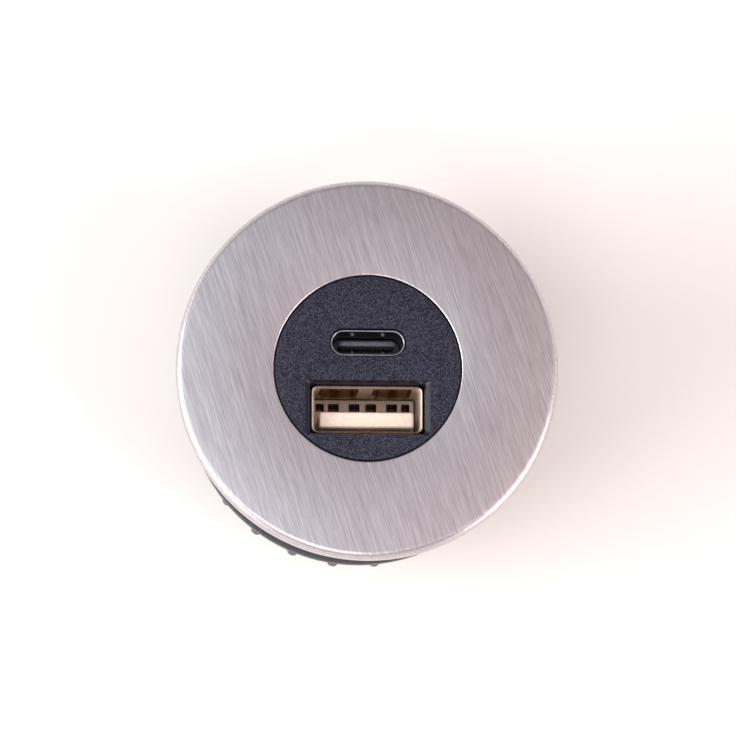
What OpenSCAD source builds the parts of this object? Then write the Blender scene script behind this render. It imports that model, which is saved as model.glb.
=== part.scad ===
// Desk grommet with two USB charging outlets.
// Z points up out of the desk, Y to the USB-C side. The origin is on the axis,
// in the plane of the desk top. All dimensions are millimetres.

/* [Trim ring] */
// Outer diameter of the steel ring
ring_d = 45; // [44.6:0.1:50]
// Height of the ring's face above the desk
ring_top = 2.4; // [2.3:0.1:2.8]
// Sheet thickness of the ring
ring_t = 0.8; // [0.6:0.1:0.9]
// Radius of the rolled outer edge
ring_round = 0.9; // [0.6:0.1:1.0]
// Diameter of the hole in the ring
ring_hole = 22.1; // [22.1:0.1:22.6]
// Bevel on the edge of that hole
ring_bevel = 0.15; // [0.1:0.05:0.3]

/* [Face insert] */
// Diameter of the plastic face inside the ring
face_d = 21.9; // [21.7:0.1:21.9]
// Thickness of the face at the ports
face_t = 3.0; // [2.6:0.1:3.4]
// Diameter of the shoulder trapped under the ring
shoulder_d = 26; // [25:0.5:26]
// How far the USB-A port's mouth lies below the face
port_recess = 1.8; // [1.4:0.1:2.0]
// How far the USB-C port's mouth lies below the face
c_recess = 0.4; // [0.3:0.05:0.6]
// Slope of the USB-A pocket's long sides, as a width on plan
pocket_draft = 0.3; // [0.15:0.05:0.35]
// Slope of the USB-A pocket's short ends, as a width on plan
pocket_end = 0.6; // [0.2:0.05:0.6]

/* [Barrel] */
// Diameter of the smooth collar that centres the part in the desk hole
collar_d = 34; // [34:0.1:34.4]
// Depth of the collar below the desk top
collar_l = 4; // [3.5:0.5:4]
// Diameter of the barrel under the thread
core_d = 31.8; // [31.6:0.1:31.9]
// Crest diameter of the thread
crest_d = 33.8; // [33.7:0.1:33.9]
// Length of the barrel below the desk top
barrel_l = 40; // [40:0.5:44]
// Bore of the barrel
bore_d = 28; // [27.9:0.1:28.1]
// Pitch of the thread
pitch = 3; // [2.9:0.05:3]
// Angle of each run of thread between two keyways
thread_span = 76; // [74:1:77]

/* [Clamp] */
// Thickness of the desk top that is clamped
desk_t = 18; // [16:1:18]
// Outer diameter of the clamp washer
washer_d = 42; // [41:0.5:43]
// Thickness of the clamp washer
washer_t = 2; // [1.8:0.1:2.2]
// Height of the locking nut
nut_h = 9.2; // [9:0.1:9.6]
// Outer diameter of the locking nut over its ribs
nut_d = 41; // [41:0.5:43]
// Number of grip ribs round the nut
nut_ribs = 24; // [16:1:30]

/* [Ports] */
// Offset of the USB-A port from the axis
usb_a_y = -4.65; // [-4.7:0.05:-4.65]
// Offset of the USB-C port from the axis
usb_c_y = 3.05; // [3:0.05:3.2]
// Length of the USB-A shell
usb_a_l = 14; // [13.5:0.1:14]
// Length of the USB-C shell
usb_c_l = 7.6; // [7.4:0.1:7.8]

/* [Power inlet] */
// Diameter of the inlet's threaded bush
bush_d = 7.9; // [7.6:0.1:7.9]
// Bore of the inlet, for a 5.5 mm plug
plug_bore = 5.6; // [5.6:0.05:5.7]
// Diameter of the inlet's centre pin
plug_pin = 2.0; // [1.9:0.1:2.1]

/* [Hidden] */
$fn = 96;
eps = 0.01;

ring_r = ring_d / 2;
skirt_z = 0.15;
plate_z = ring_top - ring_t;
glue_t = 0.2;
flange_top = plate_z - glue_t;
flange_z = 0.5;
flange_r = ring_r - ring_t - 0.3;
shoulder_r = shoulder_d / 2;
shoulder_z = 0.4;
face_z = ring_top - face_t;
spigot_r = shoulder_r - 0.8;
throat_z = -2.5;
port_z = ring_top - port_recess;
c_port_z = ring_top - c_recess;

core_r = core_d / 2;
crest_r = crest_d / 2;
collar_r = collar_d / 2;
bore_r = bore_d / 2;
lead = asin(0.5 / 16.4) * pitch / 3;
thread_z0 = -barrel_l + 2.1;
thread_n = floor((barrel_l - collar_l - 4.4) * 4 / pitch) + 1;

washer_z = -desk_t - washer_t;
nut_top = washer_z - 0.1;
nut_z = nut_top - nut_h;
nut_bore_r = crest_r + 0.25;
nut_root_r = nut_bore_r + 0.45;
nut_crest_r = core_r + 0.25;
// The nut's runs lie in the barrel's grooves, half a pitch above its runs, from the lowest that fits the nut
groove_n = ceil((nut_z + 1.45 - thread_z0 - pitch / 2) / (pitch / 4));
nut_thread_z = thread_z0 + pitch / 2 + groove_n * pitch / 4;
nut_thread_n = floor((nut_top - 1.35 - nut_thread_z) / (pitch / 4)) + 1;

usb_a_w = 13.14;
usb_a_h = 5.72;
usb_c_w = 8.94;
usb_c_h = 3.2;
tongue_y = usb_a_y - 1.14;
board_front = usb_a_y + usb_a_h / 2;
board_back = board_front + 1.6;
board_mid = board_front + 0.8;
board_z = -26;
usb_a_pins = [-3.5, -1, 1, 3.5];

cover_top = -barrel_l + 3.6;
cover_t = 1.6;
screw_r = 11.3;
screw_at = [90, 210, 330];

// A rectangle with rounded corners, centred on the origin
module round_rect(w, h, r) {
  square([w - 2 * r, h], center = true);
  square([w, h - 2 * r], center = true);
  for (x = [-1, 1], y = [-1, 1])
    translate([x * (w / 2 - r), y * (h / 2 - r)]) circle(r = r, $fn = 32);
}

// A slot with half-round ends, centred on the origin
module obround(w, h) {
  square([w - h, h], center = true);
  for (x = [-1, 1])
    translate([x * (w - h) / 2, 0]) circle(d = h, $fn = 48);
}

// A ring between two radii
module tube(r_in, r_out, z0, z1) {
  translate([0, 0, z0])
    difference() {
      cylinder(h = z1 - z0, r = r_out);
      translate([0, 0, -1]) cylinder(h = z1 - z0 + 2, r = r_in);
    }
}

// A box between two corners
module box(x0, x1, y0, y1, z0, z1) {
  translate([x0, y0, z0]) cube([x1 - x0, y1 - y0, z1 - z0]);
}

// One run of a screw thread: a trapezoid ridge, tilted about its own middle to climb the pitch
module thread_run(r_root, r_crest, half_root, half_crest, mid, span, z) {
  translate([0, 0, z]) rotate([0, 0, mid]) rotate([lead, 0, 0]) rotate([0, 0, -span / 2])
    rotate_extrude(angle = span)
      polygon([
        [r_root, -half_root], [r_crest, -half_crest],
        [r_crest, half_crest], [r_root, half_root]
      ]);
}

module trim_ring() {
  color("#bdb8bb")
    rotate_extrude()
      difference() {
        union() {
          translate([0, skirt_z]) square([ring_r, ring_top - ring_round - skirt_z]);
          square([ring_r - ring_round, ring_top]);
          translate([ring_r - ring_round, ring_top - ring_round])
            circle(r = ring_round, $fn = 64);
        }
        translate([-1, -1]) square([ring_r - ring_t + 1, plate_z + 1]);
        translate([-1, -1]) square([ring_hole / 2 + 1, ring_top + 2]);
        translate([-1, -1]) square([ring_r + 2, skirt_z + 1]);
        translate([ring_hole / 2, ring_top]) rotate(45)
          square(ring_bevel * sqrt(2), center = true);
      }
}

module trim_adhesive() {
  color("#4a4a4c") tube(shoulder_r + 0.6, flange_r - 0.2, flange_top, plate_z);
}

// A four-sided cutter that widens upwards from the mouth of a port, mitred at its corners
module pocket_cutter(w, h, end, side, depth) {
  k = (depth + 1) / depth;
  polyhedron(
    [for (z = [0, 1], p = [[-1, -1], [1, -1], [1, 1], [-1, 1]])
      [p[0] * (w / 2 + z * k * end), p[1] * (h / 2 + z * k * side), z * (depth + 1)]],
    [[0, 1, 2], [0, 2, 3], [4, 6, 5], [4, 7, 6], [0, 4, 5], [0, 5, 1], [1, 5, 6], [1, 6, 2],
     [2, 6, 7], [2, 7, 3], [3, 7, 4], [3, 4, 0]]);
}

module face_insert() {
  pocket_w = 13.4;
  pocket_h = 5.8;
  color("#3b3a46")
    difference() {
      union() {
        translate([0, 0, face_z]) cylinder(h = face_t, d = face_d);
        translate([0, 0, shoulder_z]) cylinder(h = plate_z - shoulder_z, r = shoulder_r);
        translate([0, 0, face_z]) cylinder(h = 1.5, r = spigot_r);
        box(-1.5, 1.5, shoulder_r - 1, shoulder_r + 0.7, shoulder_z, flange_top - 0.1);
      }
      translate([0, usb_a_y, face_z - 1])
        linear_extrude(height = face_t + 1 - port_recess + eps) round_rect(pocket_w, pocket_h, 0.35);
      translate([0, usb_a_y, port_z])
        pocket_cutter(pocket_w, pocket_h, pocket_end, pocket_draft, port_recess);
      translate([0, usb_c_y, face_z - 1])
        linear_extrude(height = face_t + 2) obround(usb_c_w + 0.1, usb_c_h + 0.1);
    }
}

module threaded_housing() {
  color("#26262a")
    difference() {
      union() {
        translate([0, 0, -barrel_l]) cylinder(h = barrel_l + flange_z + eps, r = core_r);
        translate([0, 0, -collar_l]) cylinder(h = collar_l + flange_z + eps, r = collar_r);
        translate([0, 0, flange_z]) cylinder(h = flange_top - flange_z, r = flange_r);
        for (k = [0 : thread_n - 1])
          thread_run(core_r - 0.4, crest_r, 1.05, 0.5, 45 + 90 * k, thread_span,
            thread_z0 + k * pitch / 4);
      }
      difference() {
        translate([0, 0, -barrel_l - 1]) cylinder(h = barrel_l + 1 + throat_z, r = bore_r);
        for (s = [-1, 1])
          translate([s * (bore_r + 0.2), board_mid, (throat_z + board_z + 1) / 2])
            cube([4.6, 4.4, throat_z - board_z - 1 + eps], center = true);
        for (a = screw_at)
          rotate([0, 0, a]) translate([screw_r, 0, cover_top]) cylinder(h = 10.4, r = 2.2);
        for (a = screw_at)
          rotate([0, 0, a])
            box(screw_r, bore_r + 1, -2.2, 2.2, cover_top, cover_top + 10.4);
      }
      box(-13.2, 13.2, board_front - 0.1, board_back + 0.1, board_z - 1, throat_z - 0.2);
      translate([0, 0, throat_z - 1]) cylinder(h = 6, r = spigot_r + 0.2);
      translate([0, 0, shoulder_z]) cylinder(h = 3, r = shoulder_r + 0.2);
      box(-1.7, 1.7, shoulder_r - 1, shoulder_r + 0.9, shoulder_z, flange_top + 1);
      for (a = screw_at)
        rotate([0, 0, a]) translate([screw_r, 0, cover_top - 1])
          cylinder(h = 9.5, r = 1.0, $fn = 32);
    }
}

module flange_gasket() {
  color("#1d1d20") tube(collar_r + 1.3, flange_r - 0.3, 0, flange_z);
}

// A spring leaf cut from the shell, bent inwards by a dip from its root near the mouth
module shell_leaf(x0, x1, y, s, dip) {
  translate([x0, y, port_z])
    rotate([90, 0, 90])
      linear_extrude(height = x1 - x0)
        polygon([
          [0, -1.4], [0, -1.8], [-s * dip, -5.4], [-s * (dip - 0.18), -6.2],
          [-s * (dip - 0.4), -6.2], [-s * (dip - 0.22), -5.4], [s * 0.22, -1.8], [s * 0.22, -1.4]
        ]);
}

module usb_a_shell() {
  color("#a39a94") {
    difference() {
      translate([0, usb_a_y, port_z - usb_a_l])
        linear_extrude(height = usb_a_l)
          difference() {
            round_rect(usb_a_w, usb_a_h, 0.75);
            round_rect(usb_a_w - 0.6, usb_a_h - 0.6, 0.45);
          }
      for (x = [-3.25, 3.25])
        box(x - 2.3, x + 2.3, usb_a_y - 5, usb_a_y + 5, port_z - 6.5, port_z - 1.4 - eps);
    }
    for (x = [-3.25, 3.25]) {
      shell_leaf(x - 2, x + 2, usb_a_y + usb_a_h / 2 - 0.25, 1, 0.7);
      shell_leaf(x - 2, x + 2, usb_a_y - usb_a_h / 2 + 0.25, -1, 0.42);
    }
  }
}

module usb_a_insulator() {
  base_z = port_z - 9.6;
  color("#f0e2d6")
    difference() {
      union() {
        box(-5.55, 5.55, tongue_y - 0.92, tongue_y + 0.92, base_z - 1, port_z - 0.6);
        translate([0, usb_a_y, port_z - usb_a_l + 0.2])
          linear_extrude(height = base_z - (port_z - usb_a_l + 0.2))
            round_rect(usb_a_w - 0.8, usb_a_h - 0.8, 0.35);
      }
      for (x = usb_a_pins)
        box(x - 0.55, x + 0.55, tongue_y + 0.72, tongue_y + 1.1, -20, port_z - 1.6);
      for (x = usb_a_pins)
        box(x - 0.65, x + 0.65, tongue_y + 2.2, tongue_y + 3.15, base_z - 3.8, base_z + 1);
      for (x = [-5.15, 5.15])
        box(x - 0.5, x + 0.5, tongue_y + 2.2, tongue_y + 3.15, base_z - 3.8, base_z + 1);
    }
}

module usb_a_contacts() {
  back = port_z - usb_a_l;
  color("#c9a24a")
    for (x = usb_a_pins) {
      box(x - 0.5, x + 0.5, tongue_y + 0.72, tongue_y + 0.92, back - 0.5, port_z - 1.7);
      box(x - 0.4, x + 0.4, tongue_y + 0.9, board_front, back - 0.5, back - 0.05);
    }
}

module usb_c_shell() {
  color("#9a9698") {
    translate([0, usb_c_y, c_port_z - usb_c_l])
      linear_extrude(height = usb_c_l)
        difference() {
          obround(usb_c_w, usb_c_h);
          obround(usb_c_w - 0.6, usb_c_h - 0.64);
        }
    for (x = [-1.8, 1.8], s = [-1, 1])
      intersection() {
        translate([x, usb_c_y + s * (usb_c_h / 2 + 0.35), c_port_z - 1.9])
          sphere(r = 0.85, $fn = 32);
        box(-5, 5, usb_c_y - usb_c_h / 2 + 0.1, usb_c_y + usb_c_h / 2 - 0.1,
          c_port_z - 4, c_port_z);
      }
  }
}

module usb_c_tongue() {
  color("#2c2c32") {
    box(-3.35, 3.35, usb_c_y - 0.3, usb_c_y + 0.3, c_port_z - 6, c_port_z - 0.7);
    translate([0, usb_c_y, c_port_z - usb_c_l])
      linear_extrude(height = usb_c_l - 5.2) obround(usb_c_w - 0.7, usb_c_h - 0.74);
  }
}

module usb_c_contacts() {
  color("#c9a24a") {
    for (i = [0 : 11], s = [-1, 1])
      translate([(i - 5.5) * 0.5, usb_c_y + s * 0.325, c_port_z - 3.8])
        cube([0.26, 0.05, 2.6], center = true);
    for (i = [0 : 11])
      box((i - 5.5) * 0.5 - 0.12, (i - 5.5) * 0.5 + 0.12, board_back, usb_c_y,
        c_port_z - usb_c_l - 0.4, c_port_z - usb_c_l);
  }
}

module usb_c_riser() {
  color("#2a2a2e")
    box(-4.2, 4.2, board_back, usb_c_y - usb_c_h / 2, c_port_z - usb_c_l, face_z - 0.4);
}

module main_board() {
  color("#1f5a3c")
    translate([0, board_back, 0])
      rotate([90, 0, 0])
        linear_extrude(height = 1.6)
          polygon([
            [-13, board_z], [13, board_z], [13, throat_z - 0.4], [11.5, throat_z - 0.4],
            [11.5, face_z - 0.2], [-11.5, face_z - 0.2], [-11.5, throat_z - 0.4],
            [-13, throat_z - 0.4]
          ]);
}

module power_inductor() {
  color("#55565a")
    translate([0, board_front, -19.8])
      rotate([90, 0, 0])
        linear_extrude(height = 3.5) round_rect(7.3, 7.3, 1.2);
}

module charge_controller_chips() {
  color("#1b1b1e")
    for (x = [-6.2, 6.2]) {
      box(x - 2, x + 2, board_back + 0.1, board_back + 1.6, -15, -10);
      for (i = [0 : 3], s = [-1, 1])
        box(x + s * 2.4 - 0.6, x + s * 2.4 + 0.6, board_back, board_back + 0.3,
          -14.6 + i * 1.27, -14.2 + i * 1.27);
    }
}

module filter_capacitors() {
  color("#b9bcc0")
    for (x = [-6.4, 6.4]) {
      translate([x, board_back, -20.6]) rotate([-90, 0, 0]) cylinder(h = 5.4, r = 3.15);
      box(x - 3.3, x + 3.3, board_back, board_back + 1, -23.9, -17.3);
    }
}

module ceramic_capacitors() {
  color("#b08d62")
    for (x = [-2.4, -0.8, 0.8, 2.4], z = [-10.5, -12.5, -14.5])
      box(x - 0.4, x + 0.4, board_back, board_back + 0.8, z - 0.8, z + 0.8);
}

// Point at parameter t on a cubic curve
function bez(p, t) = pow(1 - t, 3) * p[0] + 3 * t * pow(1 - t, 2) * p[1]
  + 3 * t * t * (1 - t) * p[2] + t * t * t * p[3];
function unit(v) = v / norm(v);
// Eight points round a curve at one place, square to its run
function wire_ring(p, t, r) =
  let (d = unit(bez(p, min(1, t + 0.01)) - bez(p, max(0, t - 0.01))),
       u = unit(cross(d, [1, 0.3, 0])), v = cross(d, u))
  [for (a = [0 : 45 : 315]) bez(p, t) + r * (cos(a) * u + sin(a) * v)];

// A round wire along a cubic curve
module wire(p, r, n) {
  pts = [for (i = [0 : n]) each wire_ring(p, i / n, r)];
  polyhedron(pts, concat(
    [[for (j = [0 : 7]) j]],
    [for (i = [0 : n - 1], j = [0 : 7]) let (a = 8 * i + j, b = 8 * i + (j + 1) % 8)
      each [[a, a + 8, b + 8], [a, b + 8, b]]],
    [[for (j = [7 : -1 : 0]) 8 * n + j]]
  ), convexity = 6);
}

lead_end_y = board_back + 0.65;
module positive_lead() {
  color("#a8231f")
    wire([[0, 0.95, cover_top + 9.5], [0.6, 4.6, cover_top + 10.4],
      [3, 4.4, -25.6], [2, lead_end_y, -22.6]], 0.6, 18);
}

module negative_lead() {
  color("#161618")
    wire([[-3.3, 1.75, cover_top + 9.1], [-4.2, 5.0, cover_top + 10.2],
      [-2.6, 4.4, -25.4], [-2, lead_end_y, -22.6]], 0.6, 18);
}

module rear_cover() {
  color("#2b2b30")
    difference() {
      union() {
        translate([0, 0, cover_top - cover_t]) cylinder(h = cover_t, r = bore_r - 0.2);
        for (x = [-11, 11])
          box(x - 1, x + 1, board_front, board_back, cover_top - eps, board_z - 0.1);
      }
      translate([0, 0, cover_top - 3]) cylinder(h = 5, r = bush_d / 2 + 0.1);
      for (a = screw_at)
        rotate([0, 0, a]) translate([screw_r, 0, cover_top - 3])
          cylinder(h = 5, r = 1.2, $fn = 32);
    }
}

module rear_cover_screws() {
  head_z = cover_top - cover_t;
  color("#8f9194")
    for (a = screw_at)
      rotate([0, 0, a]) translate([screw_r, 0, 0])
        difference() {
          union() {
            translate([0, 0, head_z - 1.1]) cylinder(h = 1.1, r = 1.9, $fn = 48);
            translate([0, 0, head_z - eps]) cylinder(h = 9, r = 0.98, $fn = 32);
          }
          box(-1.1, 1.1, -0.25, 0.25, head_z - 1.2, head_z - 0.45);
          box(-0.25, 0.25, -1.1, 1.1, head_z - 1.2, head_z - 0.45);
        }
}

module dc_inlet_body() {
  color("#1c1c20")
    difference() {
      union() {
        translate([0, 0, -barrel_l + 0.2]) cylinder(h = 5, d = bush_d);
        translate([0, 0, cover_top]) cylinder(h = 8.4, r = 5);
      }
      translate([0, 0, -barrel_l - 1]) cylinder(h = 10.8, d = plug_bore);
      translate([0, 0, -barrel_l]) cylinder(h = 20, d = plug_pin + 0.02, $fn = 48);
      box(-3.45, -2.5, -1.1, 1.1, cover_top + 0.4, cover_top + 9);
    }
}

module dc_inlet_nut() {
  color("#a9abad")
    translate([0, 0, cover_top - cover_t - 1.6])
      difference() {
        cylinder(h = 1.6, d = 11.55, $fn = 6);
        translate([0, 0, -1]) cylinder(h = 4, d = bush_d + 0.1);
      }
}

module dc_inlet_pin() {
  color("#b5b6b8") {
    translate([0, 0, -barrel_l + 1.6]) cylinder(h = 11.6, d = plug_pin, $fn = 48);
    translate([0, 0, -barrel_l + 12]) cylinder(h = 1.9, r = 0.35, $fn = 32);
  }
}

module dc_inlet_spring() {
  color("#b5a878")
    translate([0, 1, cover_top])
      rotate([90, 0, 0])
        linear_extrude(height = 2)
          polygon([
            [-3.4, 9.3], [-3.4, 0.5], [-3.2, 0.5], [-3.2, 1.4], [-2.62, 3.4],
            [-3.2, 5.4], [-3.2, 9.3]
          ]);
}

module clamp_washer() {
  color("#33333a")
    difference() {
      translate([0, 0, washer_z]) cylinder(h = washer_t, d = washer_d);
      difference() {
        translate([0, 0, washer_z - 1]) cylinder(h = washer_t + 2, r = collar_r + 0.25);
        for (a = [0, 90, 180, 270])
          rotate([0, 0, a])
            difference() {
              box(core_r - 1, collar_r + 1, -1.65, 1.65, washer_z - 2, washer_z + washer_t + 2);
              translate([0, 0, washer_z - 3]) cylinder(h = washer_t + 6, r = core_r + 0.25);
            }
      }
    }
}

module locking_nut() {
  color("#2e2e34")
    difference() {
      union() {
        difference() {
          union() {
            translate([0, 0, nut_z]) cylinder(h = nut_h, d = nut_d - 1.4);
            translate([0, 0, nut_top - 1.5]) cylinder(h = 1.5, d = nut_d);
            for (i = [0 : nut_ribs - 1])
              rotate([0, 0, 360 * (i + 0.5) / nut_ribs])
                translate([nut_d / 2 - 0.8, 0, nut_z + 0.6])
                  cylinder(h = nut_h - 1.6, r = 0.7, $fn = 32);
          }
          translate([0, 0, nut_z - 1]) cylinder(h = nut_h + 2, r = nut_bore_r);
        }
        for (k = [0 : nut_thread_n - 1])
          thread_run(nut_root_r, nut_crest_r, 1.05, 0.5, 45 + 90 * (k + groove_n), 82,
            nut_thread_z + k * pitch / 4);
      }
    }
}

trim_ring();
trim_adhesive();
face_insert();
threaded_housing();
flange_gasket();
usb_a_shell();
usb_a_insulator();
usb_a_contacts();
usb_c_shell();
usb_c_tongue();
usb_c_contacts();
usb_c_riser();
main_board();
power_inductor();
charge_controller_chips();
filter_capacitors();
ceramic_capacitors();
positive_lead();
negative_lead();
rear_cover();
rear_cover_screws();
dc_inlet_body();
dc_inlet_nut();
dc_inlet_pin();
dc_inlet_spring();
clamp_washer();
locking_nut();
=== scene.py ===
"""Looks of a desk grommet with USB-A and USB-C outlets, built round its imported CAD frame."""
import logging
import math
from dataclasses import dataclass, field
from enum import Enum
from functools import cache, partial
from typing import Any, Callable, ClassVar, Sequence

import bmesh
import bpy
import numpy as np
from mathutils import Matrix, Vector
from numpy.typing import NDArray


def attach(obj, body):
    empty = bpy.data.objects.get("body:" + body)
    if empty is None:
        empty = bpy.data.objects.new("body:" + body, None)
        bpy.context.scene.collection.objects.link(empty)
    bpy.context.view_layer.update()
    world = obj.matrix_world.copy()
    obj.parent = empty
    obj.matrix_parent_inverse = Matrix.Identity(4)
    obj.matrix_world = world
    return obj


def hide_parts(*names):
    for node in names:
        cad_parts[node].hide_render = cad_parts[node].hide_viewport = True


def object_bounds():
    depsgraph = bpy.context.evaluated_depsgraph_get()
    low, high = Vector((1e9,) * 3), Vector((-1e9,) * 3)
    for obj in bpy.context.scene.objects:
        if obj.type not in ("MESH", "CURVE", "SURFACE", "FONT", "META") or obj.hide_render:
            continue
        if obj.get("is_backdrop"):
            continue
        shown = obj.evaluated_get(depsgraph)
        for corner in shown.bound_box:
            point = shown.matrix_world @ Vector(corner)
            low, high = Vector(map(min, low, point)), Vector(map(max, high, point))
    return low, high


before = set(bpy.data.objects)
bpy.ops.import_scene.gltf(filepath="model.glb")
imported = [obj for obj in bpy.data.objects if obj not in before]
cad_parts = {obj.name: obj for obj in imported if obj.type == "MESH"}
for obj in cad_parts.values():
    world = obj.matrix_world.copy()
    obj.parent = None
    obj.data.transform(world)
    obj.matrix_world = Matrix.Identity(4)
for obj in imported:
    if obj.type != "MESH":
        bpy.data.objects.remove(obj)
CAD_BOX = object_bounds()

LOG = logging.getLogger("grommet")
MM = 0.001
Array = NDArray[np.float64]
Pair = tuple[float, float]
Plan = tuple[float, float, float]
Piece = bpy.types.Object
Socket = bpy.types.NodeSocket
Adder = Callable[..., Socket]

# Heights in millimetres above the desk top that several pieces share
FACE_TOP = 2.4
C_MOUTH = 2.0
PLATE_TOP = 1.6
A_MOUTH = 0.6
WASHER_TOP = -18.0
COVER_TOP = -36.4
COVER_FACE = -38.0
RIM = -40.0

# The cover's screws: their bearings, and the radius of their circle in millimetres
SCREW_BEARINGS = np.radians((90.0, 210.0, 330.0))
SCREW_CIRCLE = 11.3

# The thread that the barrel and the nut share: pitch and half heights in millimetres, and the first run's bearing
PITCH = 3.0
THREAD_FOOT = 1.05
THREAD_LAND = 0.5
THREAD_BEARING = 45.0


class Body(Enum):
    """The three bodies that pieces ride on."""

    HOUSING = "housing"
    WASHER = "clamp_washer"
    NUT = "locking_nut"


class Grain(Enum):
    """How the fine grain of a moulded surface is drawn."""

    CLOUDS = "cloudy"
    PITS = "round pits"
    CRATERS = "flat craters of random depth"


# ---- surfaces


def softened(corners: Sequence[Pair], radii: Sequence[float], steps: int = 6) -> Array:
    """Rounds the corners of a closed outline.

    Each corner becomes a circular arc, written as a rational quadratic curve from one tangent point
    to the other with the corner as its middle control point and the sine of the half angle as weight.

    Args:
        corners: corner points of the outline, in order.
        radii: the radius at each corner.
        steps: points on each arc.

    Returns:
        The rounded outline, one row a point.
    """
    p = np.asarray(corners, float)
    a, b = np.roll(p, 1, 0) - p, np.roll(p, -1, 0) - p
    a /= np.linalg.norm(a, axis=1, keepdims=True)
    b /= np.linalg.norm(b, axis=1, keepdims=True)
    half = 0.5 * np.arccos(np.clip((a * b).sum(1), -0.9999, 0.9999))[:, None]
    reach = np.asarray(radii, float)[:, None] / np.tan(half)
    s = np.linspace(0.0, 1.0, steps)[None, :, None]
    w = np.sin(half)[:, :, None]
    top = ((1 - s) ** 2 * (p + a * reach)[:, None] + 2 * w * s * (1 - s) * p[:, None]
           + s**2 * (p + b * reach)[:, None])
    return (top / ((1 - s) ** 2 + 2 * w * s * (1 - s) + s**2)).reshape(-1, 2)


def rounded_slot(width: float, height: float, radius: float, steps: int = 8) -> Array:
    """A rectangle's outline, anticlockwise from the lower left, its corners rounded by the radius cut down to fit."""
    x, y = width / 2, height / 2
    return softened([(-x, -y), (x, -y), (x, y), (-x, y)], [max(1e-4, min(radius, x - 1e-4, y - 1e-4))] * 4, steps)


def cloud(x: Any, y: Any, z: Any) -> Array:
    """Points from their three coordinates, each spread over the whole grid."""
    return np.stack(np.broadcast_arrays(x, y, z), -1)


def polar(radius: Any, angle: Any, height: Any) -> Array:
    """Points at a height whose x and y are the radius times the cosine and sine of the angle in radians."""
    return cloud(radius * np.cos(angle), radius * np.sin(angle), height)


def turned(profile: Array, segments: int = 256) -> Array:
    """A grid of points from a profile of (radius, height), carried once round the axis in the given steps."""
    return polar(profile[:, 0], np.linspace(0, 2 * np.pi, segments, endpoint=False)[:, None], profile[:, 1])


def lofted(outlines: Sequence[Array], heights: Sequence[float], centre: Pair = (0.0, 0.0)) -> Array:
    """A grid of points from outlines of equal point count, stacked at the given heights round the given centre."""
    flat = np.stack(outlines) + centre
    return cloud(flat[..., 0], flat[..., 1], np.asarray(heights)[:, None])


def revolved(name: str, corners: Sequence[Pair], radii: Sequence[float], steps: int, segments: int,
             sharp: float = 40.0) -> Piece:
    """A new object: the profile with these corners (radius, height), rounded by the radii, carried round the axis."""
    return Skin().add(turned(softened(corners, radii, steps), segments), True, True).build(name, sharp)


def block(plan: Plan, low: float, high: float, edge: float, centre: Pair = (0.0, 0.0)) -> Array:
    """A closed block with round corners on plan and rounded upper and lower edges.

    The outline shrinks by edge times one minus the cosine of the turn at each end, and closes to a point.

    Args:
        plan: width, height and corner radius on plan.
        low: lowest height.
        high: highest height.
        edge: radius of the upper and lower edges.
        centre: middle of the block on plan.

    Returns:
        A grid of points from the lower pole to the upper one.
    """
    turn = np.linspace(0, np.pi / 2, 5)
    inset = np.concatenate([edge * (1 - np.sin(turn)), edge * (1 - np.cos(turn))])
    z = np.concatenate([low + edge * (1 - np.cos(turn)), high - edge * (1 - np.sin(turn))])
    rings = [rounded_slot(plan[0] - 2 * i, plan[1] - 2 * i, plan[2] - i) for i in inset]
    rings = [rings[0] * 0.001] + rings + [rings[-1] * 0.001]
    return lofted(rings, [z[0], *z, z[-1]], centre)


def thread_runs(root: float, crest: float, span: float, start: float, count: int) -> Array:
    """The quarter-turn runs of an interrupted screw thread.

    Each run is a trapezoid ridge carried along the helix whose height climbs by the pitch over a turn. A factor
    that rises smoothly from nought to one at both ends tapers the ridge into the wall, and a pole closes each end.

    Args:
        root: radius at the ridge's foot.
        crest: radius at its crest.
        span: angle of one run in degrees.
        start: height of the first run's middle.
        count: number of runs, a quarter turn apart.

    Returns:
        Points by run, place along the run, and place on the profile.
    """
    k = np.arange(count)[:, None, None]
    u = np.linspace(-0.5, 0.5, 33)[None, :, None]
    taper = 1 - np.clip((np.abs(u) - 0.455) / 0.045, 0, 1) ** 2
    side = math.copysign(1.0, crest - root)
    r = np.array([root, crest - 0.10 * side, crest - 0.02 * side])
    h = np.array([THREAD_FOOT, THREAD_LAND + 0.03, THREAD_LAND - 0.07])
    rad = root + (np.concatenate([r, r[::-1]]) - root) * taper
    z = start + PITCH / 4 * k + PITCH * span * u / 360 + np.concatenate([-h, h[::-1]]) * (0.25 + 0.75 * taper)
    runs = polar(rad, np.radians(THREAD_BEARING + 90 * k + span * u), z)
    poles = runs[:, [0, -1]] * 0 + runs[:, [0, -1]].mean(2, keepdims=True)
    return np.concatenate([poles[:, :1], runs, poles[:, 1:]], 1)


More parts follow.
